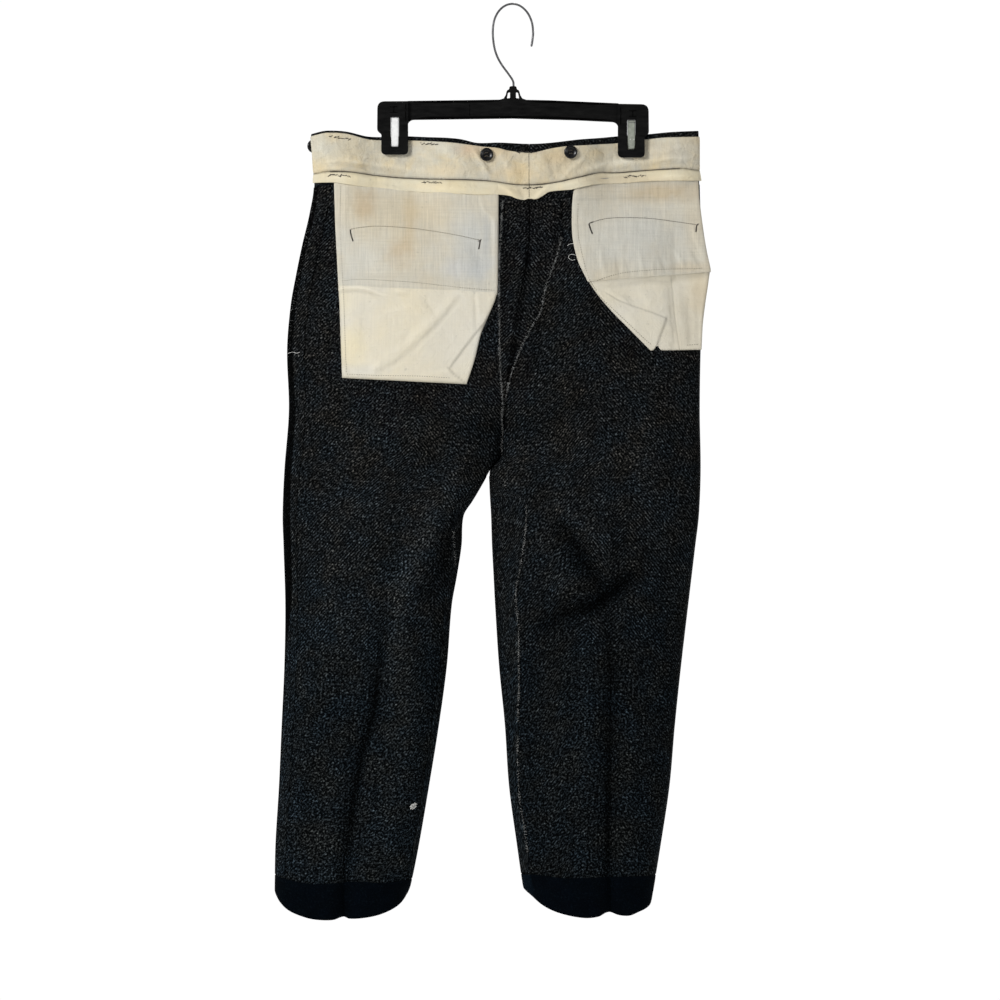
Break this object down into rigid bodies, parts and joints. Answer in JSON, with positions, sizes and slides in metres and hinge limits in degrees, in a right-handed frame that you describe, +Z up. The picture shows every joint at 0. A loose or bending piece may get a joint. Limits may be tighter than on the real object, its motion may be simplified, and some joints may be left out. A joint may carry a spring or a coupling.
{
  "type": "inside-out wool trousers on a clip hanger",
  "caption": "Charcoal twill wool trousers turned inside out, back to the front, with cotton waistband facing and pocket bags, hanging flat from a black plastic clip hanger with a wire hook.",
  "frame": {"origin": "the inside top of the hanger hook's loop, where a rail carries it", "axes": "+Z up; the trousers' back, turned inside out, faces -Y; +X is to the right of someone facing it"},
  "size_m": [0.4909, 0.0844, 1.0215],
  "materials": {
    "wool": "charcoal-black twill wool flecked with light grey, dry and slightly napped",
    "hem_wool": "near-black smooth side of the wool, at the turned-up hems",
    "facing_cotton": "aged off-white cotton twill with yellow-tan stains and wrinkles",
    "pocket_cotton": "greyish-white plain cotton, lightly stained",
    "bag_cotton": "cream cotton drill, matt",
    "button": "black dished four-hole button, semi-gloss",
    "hanger_plastic": "black moulded plastic, semi-gloss",
    "spring_steel": "bright spring strip",
    "hook_steel": "bright zinc-plated wire"
  },
  "bodies": {
    "root": {"back_panel_left": "wool", "back_panel_right": "wool", "brace_button_back_left": "button", "brace_button_back_right": "button", "brace_button_front_inner_left": "button", "brace_button_front_inner_right": "button", "brace_button_front_outer_left": "button", "brace_button_front_outer_right": "button", "clip_spring_left": "spring_steel", "clip_spring_right": "spring_steel", "fly_facing": "wool", "fly_shield": "wool", "front_panel_left": "wool", "front_panel_right": "wool", "hanger_bar": "hanger_plastic", "hanger_clip_left": "hanger_plastic", "hanger_clip_right": "hanger_plastic", "hanger_hook": "hook_steel", "hem_band_back_left": "hem_wool", "hem_band_back_right": "hem_wool", "hem_band_front_left": "hem_wool", "hem_band_front_right": "hem_wool", "inseam_allowance_left": "wool", "inseam_allowance_right": "wool", "pocket_bag_left": "bag_cotton", "pocket_bag_right": "bag_cotton", "pocket_patch_left": "pocket_cotton", "pocket_patch_right": "pocket_cotton", "seat_inlay_left": "wool", "seat_inlay_right": "wool", "side_allowance_left": "wool", "side_allowance_right": "wool", "waist_curtain_back_left": "facing_cotton", "waist_curtain_back_right": "facing_cotton", "waist_curtain_front_left": "facing_cotton", "waist_curtain_front_right": "facing_cotton", "waist_facing_back_left": "facing_cotton", "waist_facing_back_right": "facing_cotton", "waist_facing_front_left": "facing_cotton", "waist_facing_front_right": "facing_cotton", "waistband_back_left": "wool", "waistband_back_right": "wool", "waistband_front_left": "wool", "waistband_front_right": "wool"}
  },
  "joints": []
}
